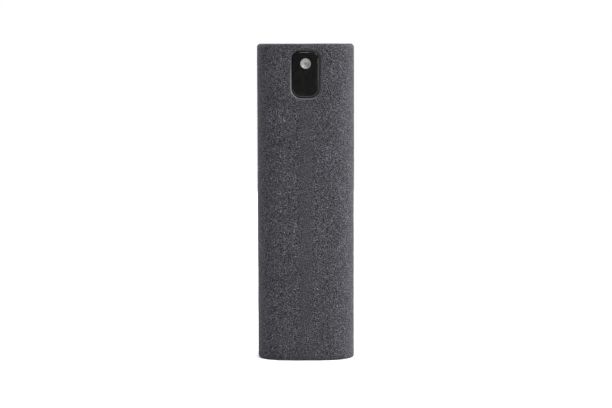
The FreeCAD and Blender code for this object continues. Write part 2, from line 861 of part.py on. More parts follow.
def head_frame():
    """The moulded frame that fills the sleeve's top, carries the pump and plugs into the bottle."""
    body = new_body("head_frame")
    lens_pad(body, "HeadOutline", HEAD_OUT, HEAD_FLOOR, HEAD_TOP)
    back = D.body_depth / 2
    side = BUTTON_WIDTH / 2 + D.flange_lip + D.head_gap
    box(
        body,
        "Subtractive",
        "ButtonPocket",
        (-side, FRONT, BUTTON_BOTTOM - D.flange_lip - D.head_gap),
        (side, POCKET_FLOOR, D.body_height),
    )
    cylinder(
        body,
        "Subtractive",
        "SpringWell",
        D.spring_width / 2 + D.spring_wire * 2,
        (0, POCKET_FLOOR, PUMP_Z),
        CYLINDER_FRONT - POCKET_FLOOR,
        BACKWARD,
    )
    cylinder(
        body,
        "Subtractive",
        "CylinderBore",
        CYLINDER_RADIUS + D.running_gap,
        (0, CYLINDER_FRONT - D.stop_gap, PUMP_Z),
        back - CYLINDER_FRONT,
        BACKWARD,
    )
    cylinder(
        body,
        "Subtractive",
        "GasketSeat",
        CYLINDER_RADIUS + D.running_gap + D.gasket_lip,
        (0, GASKET_FRONT, PUMP_Z),
        back,
        BACKWARD,
    )
    half_width, half_height = D.plate_width / 2 + D.head_gap, D.plate_height / 2 + D.head_gap
    box(
        body,
        "Subtractive",
        "PlatePocket",
        (-half_width, PLATE_FRONT, PUMP_Z - half_height),
        (half_width, back, PUMP_Z + half_height),
    )
    cylinder(
        body,
        "Subtractive",
        "PostBore",
        D.post_width / 2 + D.running_gap,
        (0, POCKET_FLOOR, NOZZLE_Z),
        POST_BACK + D.stroke + D.stop_gap * 3 - POCKET_FLOOR,
        BACKWARD,
    )
    for name, hand in (("Right", 1), ("Left", -1)):
        near, far = D.head_core_start, D.head_core_start + D.head_core_width
        low_x, high_x = (near, far) if hand == 1 else (-far, -near)
        box(
            body,
            "Subtractive",
            f"{name}Core",
            (low_x, -D.head_core_front, HEAD_FLOOR + D.head_floor_thick),
            (high_x, back, HEAD_TOP - D.head_floor_thick),
        )
        cylinder(
            body,
            "Subtractive",
            f"{name}Pilot",
            D.screw_width / 2 + D.seat_gap,
            (D.screw_spacing * (hand / 2), PLATE_BACK - D.screw_length - D.stop_gap, PUMP_Z),
            D.screw_length,
            BACKWARD,
        )
    reach = D.body_width / 2 - HEAD_OUT + D.snap_reach
    inner = reach - D.snap_reach * 2
    for name, low_x, high_x in (("RightSnap", inner, reach), ("LeftSnap", -reach, -inner)):
        box(
            body,
            "Additive",
            name,
            (low_x, -(D.snap_width / 2), HEAD_FLOOR + D.head_floor_thick),
            (high_x, D.snap_width / 2, HEAD_FLOOR + D.head_floor_thick + D.snap_height),
        )
    cylinder(body, "Additive", "Spigot", D.spigot_width / 2, (0, SPIGOT_Y, SPIGOT_END), D.spigot_length)
    cylinder(
        body,
        "Subtractive",
        "SeatBore",
        D.seat_width / 2,
        (0, VALVE_Y, SPIGOT_END),
        SEAT_TOP + D.seat_gap - SPIGOT_END,
    )
    cylinder(
        body, "Subtractive", "BallCage", D.cage_bore / 2, (0, VALVE_Y, SPIGOT_END), CAGE_TOP - SPIGOT_END
    )
    cylinder(
        body,
        "Subtractive",
        "Riser",
        D.port_bore / 2,
        (0, PORT_Y, CAGE_TOP - D.port_bore / 2),
        PUMP_Z - CYLINDER_RADIUS + D.port_bore - CAGE_TOP,
    )
    vent_z = HEAD_FLOOR + D.head_floor_thick
    for name, side_share in (("Right", 0.5), ("Left", -0.5)):
        x = D.vent_spacing * side_share
        cylinder(
            body,
            "Subtractive",
            f"{name}Vent",
            D.vent_bore / 2,
            (x, VALVE_Y, SPIGOT_END),
            vent_z - SPIGOT_END,
        )
        cylinder(
            body, "Subtractive", f"{name}Breather", D.vent_bore / 2, (x, VALVE_Y, vent_z), back, BACKWARD
        )
    sketch = new_sketch(body, "SpigotGroove", "XZ_Plane", -SPIGOT_Y)
    inner = D.spigot_width / 2 - D.ring_groove - D.running_gap * 4
    outer, half = D.spigot_width / 2 + D.ring_groove, D.ring_seat / 2
    foot, top = RING_Z - half, RING_Z + half
    add_polygon(sketch, [(inner, foot), (outer, foot), (outer, top), (inner, top)])
    groove = body.newObject("PartDesign::Groove", "SpigotRingSeat")
    groove.Profile = sketch
    groove.ReferenceAxis = (sketch, ["V_Axis"])
    groove.Angle = 360
    sketch.Visibility = False
    return body


def spigot_o_ring():
    """Seals the spigot in the bottle's neck, and grips it so that the bottle stays in."""
    inner = D.spigot_width / 2 - D.ring_groove - D.running_gap * 4
    section = (NECK_BORE_RADIUS - inner) / 2 - D.seat_gap
    return ring("spigot_o_ring", (NECK_BORE_RADIUS + inner) / 2, section, (0, SPIGOT_Y, RING_Z))


def inlet_valve_seat():
    """The bush in the spigot: the ball's cone, a socket for the dip tube and a vent ring's flange."""
    flange_top = SPIGOT_END - D.vent_ring_thick
    flange_foot = flange_top - D.seat_flange_thick
    socket, bore = D.tube_width / 2 + D.seat_gap, D.valve_bore / 2
    outer, flange = D.seat_width / 2 - D.seat_gap, D.seat_flange / 2
    socket_top = flange_foot + D.tube_socket
    return turned(
        "inlet_valve_seat",
        [
            (socket, flange_foot),
            (flange, flange_foot),
            (flange, flange_top),
            (outer, flange_top),
            (outer, SEAT_TOP),
            (bore + D.valve_cone, SEAT_TOP),
            (bore, CONE_FOOT),
            (bore, socket_top),
            (socket, socket_top),
        ],
        (0, VALVE_Y, 0),
    )


def inlet_ball():
    """The ball of the inlet check valve, resting on its cone."""
    ball = doc.addObject("Part::Sphere", "inlet_ball")
    ball.setExpression("Radius", (D.ball_width / 2).text)
    ball.setExpression("Placement.Base.y", VALVE_Y.text)
    ball.setExpression("Placement.Base.z", BALL_Z.text)
    return ball


def vent_ring():
    """A soft flap ring under the spigot. It lets air into the bottle and keeps the fluid from running out."""
    return tube(
        "vent_ring",
        D.seat_width / 2,
        D.vent_ring_width / 2,
        SPIGOT_END - D.vent_ring_thick,
        SPIGOT_END,
        (0, VALVE_Y, 0),
    )


def dip_tube():
    """The tube from the inlet valve to the bottle's floor, notched so that it can't seal there."""
    foot = FOOT_BOTTOM + D.bottle_wall + D.tube_foot_gap
    top = SPIGOT_END - D.vent_ring_thick - D.seat_flange_thick + D.tube_socket - D.seat_gap
    body = tube("dip_tube", D.tube_bore / 2, D.tube_width / 2, foot, top, (0, VALVE_Y, 0))
    half = D.tube_notch / 2
    box(
        body,
        "Subtractive",
        "FootNotch",
        (-D.tube_width, -half, foot - half),
        (D.tube_width, half, foot + D.tube_notch),
    )
    return body


# ---- the bottle ----------------------------------------------------------------------------------


def bottle():
    """The flat bottle, with a stepped-in foot for the base cap and an off-centre neck for the spigot."""
    body = new_body("bottle")
    lens_pad(body, "BottleOutline", BOTTLE_OUT, BOTTLE_STEP, SHOULDER)
    dress(body, "Fillet", "ShoulderRound", at_height(SHOULDER), D.shoulder_round)
    lens_pad(body, "BottleFoot", FOOT_OUT, FOOT_BOTTOM, BOTTLE_STEP)
    cylinder(
        body,
        "Additive",
        "Neck",
        NECK_BORE_RADIUS + D.neck_wall,
        (0, SPIGOT_Y, SHOULDER - D.shoulder_round),
        D.neck_height + D.shoulder_round,
    )
    lens_pocket(body, "FootInside", FOOT_IN, FOOT_BOTTOM + D.bottle_wall, BOTTLE_STEP + D.bottle_wall * 2)
    lens_pocket(body, "BottleInside", BOTTLE_IN, BOTTLE_STEP + D.bottle_wall, SHOULDER - D.bottle_wall)
    cylinder(
        body,
        "Subtractive",
        "NeckBore",
        NECK_BORE_RADIUS,
        (0, SPIGOT_Y, SHOULDER - D.bottle_wall * 2),
        D.neck_height + D.bottle_wall * 2,
    )
    return body


def base_cap():
    """The cap over the bottle's foot, with two finger recesses either side of a bar to pull the bottle out by."""
    body = new_body("base_cap")
    lens_pad(body, "CapOutline", BOTTLE_OUT, D.base_gap, SKIRT_TOP)
    dress(body, "Fillet", "CapRound", at_height(D.base_gap), D.base_round)
    lens_pocket(body, "CapInside", BOTTLE_OUT + D.skirt_wall, PLATE_TOP, SKIRT_TOP)
    half_width, half_depth, bar = D.grip_width / 2, D.grip_depth / 2, D.grip_bar / 2
    for name, low_x, high_x in (("RightGrip", bar, half_width), ("LeftGrip", -half_width, -bar)):
        box(
            body,
            "Subtractive",
            name,
            (low_x, -half_depth, ZERO),
            (high_x, half_depth, D.base_gap + D.grip_recess),
        )
    return body


def check_document():
    """Stops if any object failed to compute."""
    doc.recompute()
    for item in doc.Objects:
        if {"Invalid", "Error"} & set(item.State):
            raise RuntimeError(f"{item.Label} did not compute: {item.State}")


def main():
    parts = [
        microfibre_cover(),
        sleeve_shell(),
        button(),
        channel_plug(),
        nozzle_insert(),
        swirl_core(),
        outlet_valve(),
        piston(),
        piston_seal(),
        return_spring(),
        pump_cylinder(),
        cylinder_o_ring(),
        cylinder_gasket(),
        cylinder_screws(),
        head_frame(),
        spigot_o_ring(),
        inlet_valve_seat(),
        inlet_ball(),
        vent_ring(),
        dip_tube(),
        bottle(),
        base_cap(),
    ]
    check_document()
    for part in parts:
        if part.Shape.isNull() or not part.Shape.isValid():
            raise RuntimeError(f"{part.Label} has no valid shape")
    os.makedirs(OUT_FOLDER, exist_ok=True)
    for part in parts:
        part.Shape.exportStep(os.path.join(OUT_FOLDER, f"{part.Label}.step"))
        print(f"{part.Label}: {len(part.Shape.Solids)} solid, {part.Shape.Volume:.1f} mm3")


main()
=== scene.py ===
"""Studio scene of the pocket lens cleaning spray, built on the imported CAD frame.

The cloth cover is modelled here as a fine sheet with a rolled cut edge round the button's window. Every other piece is a CAD
node with a procedural material.
"""

import math

import bpy
import bmesh
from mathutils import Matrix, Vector, noise


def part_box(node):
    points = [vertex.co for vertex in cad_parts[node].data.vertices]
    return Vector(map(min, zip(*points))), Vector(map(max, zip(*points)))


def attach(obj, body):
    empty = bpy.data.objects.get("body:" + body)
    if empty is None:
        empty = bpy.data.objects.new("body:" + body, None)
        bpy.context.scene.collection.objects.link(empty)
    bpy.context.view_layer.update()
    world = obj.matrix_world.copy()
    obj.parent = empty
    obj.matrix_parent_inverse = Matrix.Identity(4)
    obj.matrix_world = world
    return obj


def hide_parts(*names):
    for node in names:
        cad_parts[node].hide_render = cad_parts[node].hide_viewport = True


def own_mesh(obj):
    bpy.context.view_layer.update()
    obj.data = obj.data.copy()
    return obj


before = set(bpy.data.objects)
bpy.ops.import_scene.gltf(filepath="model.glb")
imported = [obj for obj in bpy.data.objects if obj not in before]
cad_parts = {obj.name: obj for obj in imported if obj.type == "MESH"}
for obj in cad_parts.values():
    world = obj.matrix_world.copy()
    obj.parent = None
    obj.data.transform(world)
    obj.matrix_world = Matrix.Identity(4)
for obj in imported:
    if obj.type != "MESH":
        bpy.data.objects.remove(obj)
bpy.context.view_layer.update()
MM = 0.001

# ---- the cloth's shape ---------------------------------------------------------------------------------------------------

COVER_LOW, COVER_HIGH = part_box("microfibre_cover")
BUTTON_LOW, BUTTON_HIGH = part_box("button")

FACE_RADIUS = 67 * MM  # the gentle bulge of the front and back faces
CLOTH_THICK = 0.97 * MM
HEM_ROUND = 1.2 * MM
HEM_FULLER = 0.5  # how much less the hem is rounded at the sleeve's +X side
HEM_WIDTH = 2.2 * MM  # how far the cloth turns in under the shell's foot
HEM_HEIGHT = 1.0 * MM
TOP_ROUND = 1.5 * MM
FLANGE_BEHIND = 0.3 * MM  # how far the button's flange reaches past the cloth's cut edge
WINDOW_TOP_ROUND = 3.2 * MM
WINDOW_FOOT_ROUND = 4.0 * MM
CUT_ROUND = 0.45 * MM  # the rolled edge of the cut cloth
CUT_WIDTH = 0.3 * MM  # how far the edge's own colour reaches over the roll
LIT_EDGE_LAYER = "lit_cut_edge"  # 1 where the cut edge faces the key light (bottom and left): the cloth's pale backing, painted only on this lit side, so partly painted light
SHADE_EDGE_LAYER = "painted_shade_edge"  # 1 where the cut edge faces away from the light (top and right): painted shade
PILE_FLAT = 1.2 * MM  # round the cut edge, the width over which the pile lies flat
NAP_PROUD = 0.2 * MM  # how far the tips of the pile stand out of the cloth's ideal surface

COLUMNS = 180  # round the sleeve
WALL_ROWS = 222
PATCH_COLUMNS = 15  # half the width of the patch round the window, in grid columns
PATCH_ROWS = 41
PATCH_STEPS = (0.0, 0.02, 0.045, 0.075, 0.115, 0.18, 0.27, 0.4, 0.58, 0.78, 1.0)
SEAM_WIDTH = 0.45 * MM
SEAM_DEPTH = 0.28 * MM


class Outline:
    """The sleeve's section: shallow face arcs and round sides. Places are given by the distance s along the outside."""

    def __init__(self, low, high):
        half_width, half_depth = (high.x - low.x) / 2, (high.y - low.y) / 2
        self.face_centre = FACE_RADIUS - half_depth
        reach = FACE_RADIUS - half_width
        self.side_centre = (self.face_centre**2 - reach**2) / (2 * reach)
        self.side_radius = half_width - self.side_centre
        self.turn = math.atan2(self.side_centre, self.face_centre)
        self.face_half = FACE_RADIUS * self.turn
        self.side_length = self.side_radius * (math.pi - 2 * self.turn)
        self.length = 4 * self.face_half + 2 * self.side_length

    def point(self, s, inset):
        """(x, y) at distance s anticlockwise from the front's middle, drawn in by inset."""
        s %= self.length
        quarter = self.face_half + self.side_length
        if s < self.face_half:
            return self._arc(0, self.face_centre, FACE_RADIUS - inset, s / FACE_RADIUS - math.pi / 2)
        if s < quarter:
            angle = self.turn - math.pi / 2 + (s - self.face_half) / self.side_radius
            return self._arc(self.side_centre, 0, self.side_radius - inset, angle)
        if s < quarter + 2 * self.face_half:
            angle = math.pi / 2 - self.turn + (s - quarter) / FACE_RADIUS
            return self._arc(0, -self.face_centre, FACE_RADIUS - inset, angle)
        x, y = self.point(self.length - s, inset)
        return -x, y

    @staticmethod
    def _arc(x, y, radius, angle):
        return x + radius * math.cos(angle), y + radius * math.sin(angle)


OUTLINE = Outline(COVER_LOW, COVER_HIGH)
WINDOW_HALF = (BUTTON_HIGH.x - BUTTON_LOW.x) / 2 - FLANGE_BEHIND
WINDOW_LOW = BUTTON_LOW.z + FLANGE_BEHIND
WINDOW_HIGH = BUTTON_HIGH.z - FLANGE_BEHIND
WINDOW_MIDDLE = (WINDOW_LOW + WINDOW_HIGH) / 2


def window_point(s, z):
    """The point of the window's cut edge that lies nearest to (s, z)."""
    radius = WINDOW_TOP_ROUND if z > WINDOW_MIDDLE else WINDOW_FOOT_ROUND
    core_s = max(-WINDOW_HALF + radius, min(WINDOW_HALF - radius, s))
    core_z = max(WINDOW_LOW + WINDOW_FOOT_ROUND, min(WINDOW_HIGH - WINDOW_TOP_ROUND, z))
    out = Vector((s - core_s, z - core_z)).normalized() * radius
    if abs(out.x) < 1e-9:
        return s, (WINDOW_HIGH if out.y > 0 else WINDOW_LOW)
    if abs(out.y) < 1e-9:
        return math.copysign(WINDOW_HALF, out.x), z
    return core_s + out.x, core_z + out.y


def nap(x, y, z):
    """How far the cloth's surface stands in from its ideal place: soft waves and tufts."""
    wave = noise.noise(Vector((x, y, z)) * 70) * 0.05 * MM
    tuft = noise.noise(Vector((x, y, z)) * 900) * 0.045 * MM
    return 0.06 * MM + wave + tuft


def seam(s):
    """Depth of the butt seam down the middle of the back."""
    away = (s % OUTLINE.length) - OUTLINE.length / 2
    return SEAM_DEPTH * math.exp(-((away / SEAM_WIDTH) ** 2))


class ClothMesh:
    """Collects the vertices and faces of the cover."""

    def __init__(self):
        self.mesh = bmesh.new()
        self.cut = self.mesh.verts.layers.float.new(LIT_EDGE_LAYER)
        self.painted_shade = self.mesh.verts.layers.float.new(SHADE_EDGE_LAYER)

    def vertex(self, s, z, inset, textured=True):
        x, y = OUTLINE.point(s, inset)
        if textured:
            x, y = OUTLINE.point(s, inset + nap(x, y, z) + seam(s) - NAP_PROUD)
        return self.mesh.verts.new((x, y, z))

    def row(self, z, inset, textured=True):
        step = OUTLINE.length / COLUMNS
        return [self.vertex(i * step, z, inset, textured) for i in range(COLUMNS)]

    def join(self, lower, upper, skip=()):
        """Quads between two closed rows, except in the columns named in skip."""
        count = len(lower)
        for i in range(count):
            if i not in skip:
                j = (i + 1) % count
                self.mesh.faces.new((lower[i], lower[j], upper[j], upper[i]))

    def cap(self, rim, height, rings, textured=True):
        """A flat top that closes a row towards its middle."""
        last = rim
        for k in range(1, rings):
            shrink = 1 - k / rings
            ring = []
            for v in rim:
                x, y = v.co.x * shrink, v.co.y * shrink
                z = height - (nap(x, y, height) if textured else 0)
                ring.append(self.mesh.verts.new((x, y, z)))
            self.join(last, ring)
            last = ring
        middle = self.mesh.verts.new((0, 0, height - (nap(0, 0, height) if textured else 0)))
        for i, v in enumerate(last):
            self.mesh.faces.new((v, last[(i + 1) % len(last)], middle))


def wall(cloth, heights, patch_rows, inset, textured):
    """Rows up the wall with a hole for the window's patch. Returns the first row, the last row and the hole's rim."""
    rows = [cloth.row(z, inset, textured) for z in heights]
    columns = [*range(PATCH_COLUMNS), *range(COLUMNS - PATCH_COLUMNS, COLUMNS)]
    top = len(rows) - 1
    for k in range(top):
        cloth.join(rows[k], rows[k + 1], columns if k >= top - patch_rows else ())
    low, left, right = top - patch_rows, COLUMNS - PATCH_COLUMNS, PATCH_COLUMNS
    across = [*range(left, COLUMNS), *range(right + 1)]
    rim = [(i, low) for i in across]
    rim += [(right, k) for k in range(low + 1, top)]
    rim += [(i, top) for i in reversed(across)]
    rim += [(left, k) for k in range(top - 1, low, -1)]
    step = OUTLINE.length / COLUMNS
    placed = []
    for i, k in rim:
        s = (i if i <= right else i - COLUMNS) * step
        placed.append((rows[k][i], s, heights[k]))
    return rows[0], rows[-1], placed


def patch(cloth, rim, inset, textured):
    """Rings from the hole's rim in to the cut edge, rolled over at the edge, with painted light and painted shade
    marked along the edge. Returns the cut edge.
    """
    last = [v for v, _, _ in rim]
    for step in reversed(PATCH_STEPS[:-1]):
        ring = []
        for _, s, z in rim:
            edge_s, edge_z = window_point(s, z)
            here_s, here_z = edge_s + (s - edge_s) * step, edge_z + (z - edge_z) * step
            away = math.hypot(here_s - edge_s, here_z - edge_z)
            roll = 0.0
            if textured and away < CUT_ROUND:
                roll = CUT_ROUND - math.sqrt(CUT_ROUND**2 - (CUT_ROUND - away) ** 2)
            flat = NAP_PROUD * max(0.0, 1 - away / PILE_FLAT) if textured else 0.0
            vertex = cloth.vertex(here_s, here_z, inset + roll + flat, textured)
            # Painted light and shade on the cut edge: where it faces the key light (bottom and left) it gets the pale
            # lit backing, where it faces away (top and right) it gets painted shade.
            light_facing = WINDOW_MIDDLE - edge_z - 1.1 * edge_s
            light_facing /= WINDOW_HIGH - WINDOW_MIDDLE
            strength = max(0.0, 1 - away / CUT_WIDTH) if textured else 1.0
            vertex[cloth.cut] = strength * max(0.0, min(1.0, light_facing))
            # Painted shade on the side of the cut edge that faces away from the light.
            vertex[cloth.painted_shade] = strength * max(0.0, min(1.0, -light_facing))
            ring.append(vertex)
        cloth.join(ring, last) if textured else cloth.join(last, ring)
        last = ring
    return last


def arc_rows(steps):
    """Fractions (in, up) of a quarter round, without its ends."""
    return [
        (1 - math.cos(math.pi / 2 * k / steps), math.sin(math.pi / 2 * k / steps))
        for k in range(1, steps)
    ]


def hem_row(cloth, inward, up):
    """A row of the hem's round, which is fuller at the +X side, where the cloth was pulled less tight."""
    row = []
    for i in range(COLUMNS):
        s = OUTLINE.length * i / COLUMNS
        side = max(0.0, OUTLINE.point(s, 0)[0] / COVER_HIGH.x)
        radius = HEM_ROUND * (1 - HEM_FULLER * side)
        row.append(cloth.vertex(s, COVER_LOW.z + radius * (1 - up), radius * inward))
    return row


def make_cover():
    """The whole cover: hem, wall with the window, and top, with an inner side against the shell."""
    cloth = ClothMesh()
    foot, top = COVER_LOW.z, COVER_HIGH.z
    wall_low, wall_high = foot + HEM_ROUND, top - TOP_ROUND
    pitch = (wall_high - wall_low) / WALL_ROWS
    heights = [wall_low + k * pitch for k in range(WALL_ROWS)] + [wall_high]
    first, last, hole = wall(cloth, heights, PATCH_ROWS, 0.0, True)
    cut_outside = patch(cloth, hole, 0.0, True)

    for inward, up in arc_rows(6):
        row = cloth.row(wall_high + TOP_ROUND * up, TOP_ROUND * inward)
        cloth.join(last, row)
        last = row
    rim = cloth.row(top, TOP_ROUND)
    for v in rim:
        v.co.z -= nap(*v.co)
    cloth.join(last, rim)
    cloth.cap(rim, top, 14)

    last = first
    for inward, up in arc_rows(6):
        row = hem_row(cloth, inward, up)
        cloth.join(row, last)
        last = row
    for z, inset in ((foot, HEM_ROUND), (foot, HEM_WIDTH - 0.3 * MM), (foot + 0.3 * MM, HEM_WIDTH)):
        row = cloth.row(z, inset, False)
        cloth.join(row, last)
        last = row
    hem_inside = cloth.row(foot + HEM_HEIGHT, HEM_WIDTH, False)
    cloth.join(hem_inside, last)

    patch_low = heights[-1 - PATCH_ROWS]
    low = foot + HEM_HEIGHT
    coarse = [low + (patch_low - low) * k / 24 for k in range(24)]
    inner_first, inner_last, hole = wall(
        cloth, coarse + heights[-1 - PATCH_ROWS :], PATCH_ROWS, CLOTH_THICK, False
    )
    cut_inside = patch(cloth, hole, CLOTH_THICK, False)
    cloth.join(inner_first, hem_inside)
    cloth.join(cut_outside, cut_inside)
    rim = cloth.row(top - CLOTH_THICK, CLOTH_THICK, False)
    cloth.join(inner_last, rim)
    cloth.cap(rim, top - CLOTH_THICK, 5, False)

    bmesh.ops.recalc_face_normals(cloth.mesh, faces=cloth.mesh.faces)
    for face in cloth.mesh.faces:
        face.smooth = True
    data = bpy.data.meshes.new("cloth_cover")
    cloth.mesh.to_mesh(data)
    cloth.mesh.free()
    cover = bpy.data.objects.new("cloth_cover", data)
    bpy.context.scene.collection.objects.link(cover)
    return cover


# ---- the return spring ---------------------------------------------------------------------------------------------------

SPRING_WIRE = 0.5 * MM
SPRING_PITCH = 1.15 * MM
RINGS_PER_TURN = 40
WIRE_SIDES = 12


def make_spring():
    """The coil spring behind the button, which the button squashes towards the pump."""
    low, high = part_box("return_spring")
    middle = (low + high) / 2
    radius = (high.x - low.x - SPRING_WIRE) / 2
    reach = high.y - low.y - SPRING_WIRE
    rings = round(reach / SPRING_PITCH * RINGS_PER_TURN)
    mesh = bmesh.new()
    loops = []
    for k in range(rings + 1):
        angle = 2 * math.pi * k / RINGS_PER_TURN
        out = Vector((math.cos(angle), 0, math.sin(angle)))
        centre = Vector((middle.x, low.y + SPRING_WIRE / 2 + reach * k / rings, middle.z)) + out * radius
        loop = []
        for side in range(WIRE_SIDES):
            turn = 2 * math.pi * side / WIRE_SIDES
            offset = out * math.cos(turn) + Vector((0, math.sin(turn), 0))
            loop.append(mesh.verts.new(centre + offset * SPRING_WIRE / 2))
        loops.append(loop)
    for first, second in zip(loops, loops[1:]):
        for side in range(WIRE_SIDES):
            after = (side + 1) % WIRE_SIDES
            mesh.faces.new((first[side], first[after], second[after], second[side]))
    mesh.faces.new(loops[0])
    mesh.faces.new(loops[-1])
    bmesh.ops.recalc_face_normals(mesh, faces=mesh.faces)
    for face in mesh.faces:
        face.smooth = len(face.verts) == 4
    data = bpy.data.meshes.new("spring_coil")
    mesh.to_mesh(data)
    mesh.free()
    spring = bpy.data.objects.new("spring_coil", data)
    bpy.context.scene.collection.objects.link(spring)
    data.materials.append(metal_material("spring_steel", (0.62, 0.62, 0.63), 0.22))
    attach(spring, "sleeve")
    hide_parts("return_spring")
    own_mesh(spring)


# ---- materials -----------------------------------------------------------------------------------------------------------


FIBRE_TONES = ((0.37, 0.06), (0.5, 0.6), (0.64, 3.4))  # noise level, brightness


def tinted(colour, level):
    return tuple(c * level for c in colour)


class Graph:
    """A material's node tree, with short calls for the nodes used here."""

    def __init__(self, name):
        self.material = bpy.data.materials.new(name)
        self.material.use_nodes = True
        self.nodes = self.material.node_tree.nodes
        self.links = self.material.node_tree.links
        self.shader = self.nodes["Principled BSDF"]
        self.place = self.nodes.new("ShaderNodeTexCoord").outputs["Object"]

    def set(self, **values):
        for name, value in values.items():
            self.shader.inputs[name.replace("_", " ")].default_value = value

    def link(self, output, socket):
        self.links.new(output, self.shader.inputs[socket])

    def stretched(self, x, y, z):
        node = self.nodes.new("ShaderNodeMapping")
        node.inputs["Scale"].default_value = (x, y, z)
        self.links.new(self.place, node.inputs["Vector"])
        return node.outputs["Vector"]

    def noise(self, size, detail=2.0, rough=0.5, vector=None):
        """Noise whose features are about size metres across."""
        node = self.nodes.new("ShaderNodeTexNoise")
        node.inputs["Scale"].default_value = 1 / size
        node.inputs["Detail"].default_value = detail
        node.inputs["Roughness"].default_value = rough
        self.links.new(vector or self.place, node.inputs["Vector"])
        return node.outputs["Fac"]

    def attribute(self, name):
        node = self.nodes.new("ShaderNodeAttribute")
        node.attribute_name = name
        return node.outputs["Fac"]

    def ramp(self, factor, *stops):
        """A colour ramp through (position, grey or colour) stops."""
        node = self.nodes.new("ShaderNodeValToRGB")
        elements = node.color_ramp.elements
        while len(elements) < len(stops):
            elements.new(0.5)
        for element, (position, colour) in zip(elements, stops):
            element.position = position
            element.color = (*colour, 1) if hasattr(colour, "__len__") else (colour, colour, colour, 1)
        self.links.new(factor, node.inputs["Fac"])
        return node.outputs["Color"]

    def mix(self, factor, a, b, blend="MIX"):
        """Colour a turned to colour b by factor."""
        node = self.nodes.new("ShaderNodeMix")
        node.data_type = "RGBA"
        node.blend_type = blend
        if factor is None:
            node.inputs["Factor"].default_value = 1.0
        else:
            self.links.new(factor, node.inputs["Factor"])
        self.links.new(a, node.inputs[6])
        self.links.new(b, node.inputs[7])
        return node.outputs[2]

    def multiply(self, a, b):
        """The product of two colours."""
        return self.mix(None, a, b, "MULTIPLY")

    def bump(self, height, distance, strength=1.0, under=None):
        node = self.nodes.new("ShaderNodeBump")
        node.inputs["Distance"].default_value = distance
        node.inputs["Strength"].default_value = strength
        self.links.new(height, node.inputs["Height"])
        if under is not None:
            self.links.new(under, node.inputs["Normal"])
        return node.outputs["Normal"]


def cloth_material(name, colour, lit_backing):
    """Brushed microfibre: a melange of dark and pale fibres, with a soft sheen and a fine nap, plus painted light and
    painted shade on the window's cut edge.
    """
    g = Graph(name)
    speckle = g.noise(0.21 * MM, 0.3, 0.5, g.stretched(1.0, 1.0, 0.85))
    fibres = g.ramp(speckle, *((at, tinted(colour, level)) for at, level in FIBRE_TONES))
    flecks = g.ramp(g.noise(0.3 * MM, 0.5, 0.5), (0.64, 1.0), (0.71, 2.8))
    brushed = g.ramp(g.noise(7 * MM, 3.0), (0.3, 0.9), (0.7, 1.1))
    melange = g.multiply(g.multiply(fibres, flecks), brushed)
    # Painted light: the pale backing colour, put only on the lit side of the window's cut edge.
    pale = g.ramp(speckle, (0.35, tinted(lit_backing, 0.7)), (0.65, lit_backing))
    melange = g.mix(g.attribute(LIT_EDGE_LAYER), melange, pale)
    # Painted shade: a darker copy of the cloth on the part of the cut edge that faces away from the light.
    shade = g.ramp(speckle, (0.3, tinted(colour, 0.1)), (0.7, tinted(colour, 0.3)))
    g.link(g.mix(g.attribute(SHADE_EDGE_LAYER), melange, shade), "Base Color")
    g.set(Roughness=0.95, Sheen_Weight=0.08, Sheen_Roughness=0.5)
    g.shader.inputs["Sheen Tint"].default_value = (0.85, 0.86, 0.92, 1)
    g.shader.inputs["Specular IOR Level"].default_value = 0.15
    coarse = g.bump(g.noise(0.9 * MM, 2.0), 0.25 * MM, 0.5)
    g.link(g.bump(speckle, 0.2 * MM, 0.8, coarse), "Normal")
    return g.material


def plastic_material(name, colour, roughness, grain=0.12 * MM, depth=0.004 * MM, vary=0.06, alpha=1.0):
    """Moulded plastic: a fine spark-eroded grain, and a slight change of gloss from handling."""
    g = Graph(name)
    tone = g.ramp(g.noise(6 * MM, 2.0), (0.3, tuple(c * 0.93 for c in colour)), (0.7, colour))
    g.link(tone, "Base Color")
    gloss = g.ramp(g.noise(2.5 * MM, 3.0), (0.3, roughness - vary), (0.7, roughness + vary))
    g.link(gloss, "Roughness")
    g.link(g.bump(g.noise(grain, 2.0), depth, 0.6), "Normal")
    g.set(Alpha=alpha)
    return g.material


def clear_material(name, colour, roughness, clear):
    """Milky, see-through plastic, with the slight ripple of a blown wall. clear is the share of light let through."""
    g = Graph(name)
    tone = g.ramp(g.noise(12 * MM, 2.0), (0.3, tinted(colour, 0.94)), (0.7, colour))
    g.link(tone, "Base Color")
    g.link(g.ramp(g.noise(4 * MM, 2.0), (0.3, roughness * 0.7), (0.7, roughness * 1.3)), "Roughness")
    g.set(IOR=1.4, Transmission_Weight=clear)
    g.link(g.bump(g.noise(7 * MM, 2.0), 0.05 * MM, 0.4), "Normal")
    return g.material


def metal_material(name, colour, roughness):
    """Drawn or ground steel, with fine scratches."""
    g = Graph(name)
    lines = g.noise(0.15 * MM, 3.0, 0.6, g.stretched(1.0, 0.12, 1.0))
    g.link(g.ramp(lines, (0.3, tuple(c * 0.85 for c in colour)), (0.7, colour)), "Base Color")
    g.link(g.ramp(lines, (0.3, roughness * 0.7), (0.7, roughness * 1.4)), "Roughness")
    g.set(Metallic=1.0)
    g.link(g.bump(lines, 0.003 * MM, 0.5), "Normal")
    return g.material


def rubber_material(name, colour):
    """Soft moulded rubber with a dusty bloom."""
    g = Graph(name)
    bloom = g.ramp(g.noise(1.2 * MM, 3.0), (0.3, colour), (0.75, tuple(c * 1.25 + 0.01 for c in colour)))
    g.link(bloom, "Base Color")
    g.link(g.ramp(g.noise(0.8 * MM, 2.0), (0.3, 0.6), (0.7, 0.8)), "Roughness")
    g.link(g.bump(g.noise(0.1 * MM, 2.0), 0.006 * MM, 0.6), "Normal")
    return g.material


def paint(material, *nodes):
    for name in nodes:
        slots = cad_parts[name].material_slots
        for slot in slots:
            slot.link = "OBJECT"
            slot.material = material


